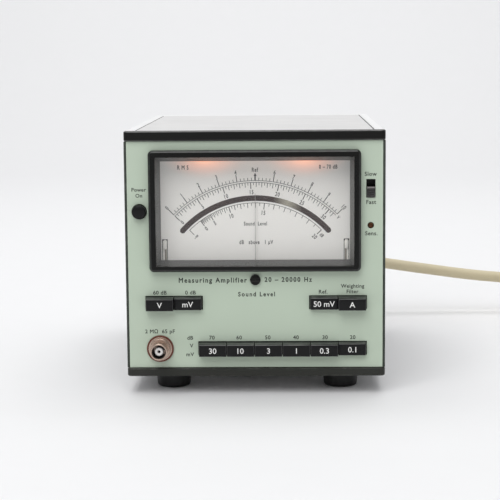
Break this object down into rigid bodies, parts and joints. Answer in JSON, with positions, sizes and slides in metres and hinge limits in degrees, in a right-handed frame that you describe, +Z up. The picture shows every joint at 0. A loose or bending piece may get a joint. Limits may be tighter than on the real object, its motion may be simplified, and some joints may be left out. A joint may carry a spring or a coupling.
{
  "type": "sound level meter",
  "caption": "Mains-powered bench sound level meter in a small module case: needle meter above groups of latching push keys, coaxial input, slow/fast switch, mains lead with plug.",
  "frame": {"origin": "on the ground under the middle of the instrument's bounding box without its lead", "axes": "+X to the right as seen from the front, +Y from the front panel to the back along the depth of the case, +Z up"},
  "size_m": [0.3636, 0.2718, 0.1426],
  "materials": {
    "green_paint": "semi-matt pale green paint",
    "black_paint": "satin black paint",
    "grey_paint": "satin dark grey paint",
    "dark_cover": "textured dark paint",
    "aluminium": "fine brushed",
    "black_plastic": "satin",
    "gloss_grey": "glossy, moulded",
    "glass": "clear",
    "dial_white": "matt white print",
    "white_plastic": "satin",
    "rubber": "moulded",
    "nickel": "nickel plated, slightly worn",
    "brass": "turned",
    "steel": "plain",
    "copper": "enamelled copper wire on an aluminium frame",
    "pointer_metal": "dark grey",
    "lamp_glass": "warm lamp glass on a metal strip",
    "board": "glass fibre board with its components",
    "cord_skin": "beige sheath, semi-gloss",
    "plug_body": "moulded on the lead"
  },
  "bodies": {
    "case": {"top_trim": "black_paint", "bottom_trim": "grey_paint", "rear_panel": "grey_paint", "rail_top_left": "aluminium", "rail_top_right": "aluminium", "rail_bottom_left": "aluminium", "rail_bottom_right": "aluminium", "top_cover": "aluminium", "bottom_cover": "aluminium", "key_bank_left": "aluminium", "key_bank_right": "aluminium", "key_bank_range": "aluminium", "side_cover_left": "dark_cover", "side_cover_right": "dark_cover", "foot_front_left": "rubber", "foot_front_right": "rubber", "foot_rear_left": "rubber", "foot_rear_right": "rubber", "cord_gland": "rubber", "front_panel": "green_paint", "meter_bezel": "black_plastic", "meter_housing": "black_plastic", "slide_switch": "black_plastic", "sens_trimmer": "black_plastic", "meter_window": "glass", "meter_shroud": "gloss_grey", "dial_plate": "dial_white", "dial_clip_left": "white_plastic", "dial_clip_right": "white_plastic", "input_insulator": "white_plastic", "lamp_strip": "lamp_glass", "magnet_yoke": "steel", "movement_core": "steel", "power_switch": "steel", "transformer": "steel", "input_socket": "nickel", "output_socket": "nickel", "main_board": "board", "cord": "cord_skin", "cord_coil": "cord_skin", "cord_tail": "cord_skin", "plug": "plug_body"},
    "pointer": {"pointer": "pointer_metal", "moving_coil": "copper"},
    "zero_adjuster": {"zero_adjuster": "black_plastic"},
    "power_button": {"power_button": "black_plastic"},
    "slide_knob": {"slide_knob": "black_plastic"},
    "sens_screw": {"sens_screw": "brass"},
    "fuse_cap": {"fuse_cap": "black_plastic"},
    "voltage_selector": {"voltage_selector": "black_plastic"},
    "key_v": {"key_v": "black_plastic"},
    "key_mv": {"key_mv": "black_plastic"},
    "key_ref": {"key_ref": "black_plastic"},
    "key_a": {"key_a": "black_plastic"},
    "key_30": {"key_30": "black_plastic"},
    "key_10": {"key_10": "black_plastic"},
    "key_3": {"key_3": "black_plastic"},
    "key_1": {"key_1": "black_plastic"},
    "key_0_3": {"key_0_3": "black_plastic"},
    "key_0_1": {"key_0_1": "black_plastic"}
  },
  "joints": [
    {"name": "key_v_push", "type": "slide", "parent": "case", "child": "key_v", "axis": [0, 1, 0], "range_m": [0, 0.003]},
    {"name": "key_mv_push", "type": "slide", "parent": "case", "child": "key_mv", "axis": [0, 1, 0], "range_m": [-0.003, 0]},
    {"name": "key_ref_push", "type": "slide", "parent": "case", "child": "key_ref", "axis": [0, 1, 0], "range_m": [-0.003, 0]},
    {"name": "key_a_push", "type": "slide", "parent": "case", "child": "key_a", "axis": [0, 1, 0], "range_m": [0, 0.003]},
    {"name": "key_30_push", "type": "slide", "parent": "case", "child": "key_30", "axis": [0, 1, 0], "range_m": [0, 0.003]},
    {"name": "key_10_push", "type": "slide", "parent": "case", "child": "key_10", "axis": [0, 1, 0], "range_m": [0, 0.003]},
    {"name": "key_3_push", "type": "slide", "parent": "case", "child": "key_3", "axis": [0, 1, 0], "range_m": [0, 0.003]},
    {"name": "key_1_push", "type": "slide", "parent": "case", "child": "key_1", "axis": [0, 1, 0], "range_m": [0, 0.003]},
    {"name": "key_0_3_push", "type": "slide", "parent": "case", "child": "key_0_3", "axis": [0, 1, 0], "range_m": [0, 0.003]},
    {"name": "key_0_1_push", "type": "slide", "parent": "case", "child": "key_0_1", "axis": [0, 1, 0], "range_m": [-0.003, 0]},
    {"name": "power_push", "type": "slide", "parent": "case", "child": "power_button", "axis": [0, 1, 0], "range_m": [0, 0.003]},
    {"name": "slow_fast_slide", "type": "slide", "parent": "case", "child": "slide_knob", "axis": [0, 0, 1], "range_m": [0, 0.0037]},
    {"name": "pointer_turn", "type": "hinge", "parent": "case", "child": "pointer", "pos_m": [0, -0.0892, 0.0523], "axis": [0, 1, 0], "range_deg": [-48, 48], "stiffness_Nm_per_rad": 0.0002},
    {"name": "zero_adjust", "type": "hinge", "parent": "case", "child": "zero_adjuster", "pos_m": [0, -0.1, 0.0626], "axis": [0, 1, 0], "range_deg": [-30, 30]},
    {"name": "sens_adjust", "type": "hinge", "parent": "case", "child": "sens_screw", "pos_m": [0.0619, -0.1, 0.0917], "axis": [0, 1, 0], "range_deg": [-135, 135]},
    {"name": "fuse_bayonet", "type": "hinge", "parent": "case", "child": "fuse_cap", "pos_m": [0.006, 0.105, 0.04], "axis": [0, 1, 0], "range_deg": [-45, 0]},
    {"name": "voltage_select", "type": "hinge", "parent": "case", "child": "voltage_selector", "pos_m": [0, 0.095, 0.084], "axis": [0, 1, 0], "range_deg": [-60, 60]}
  ]
}
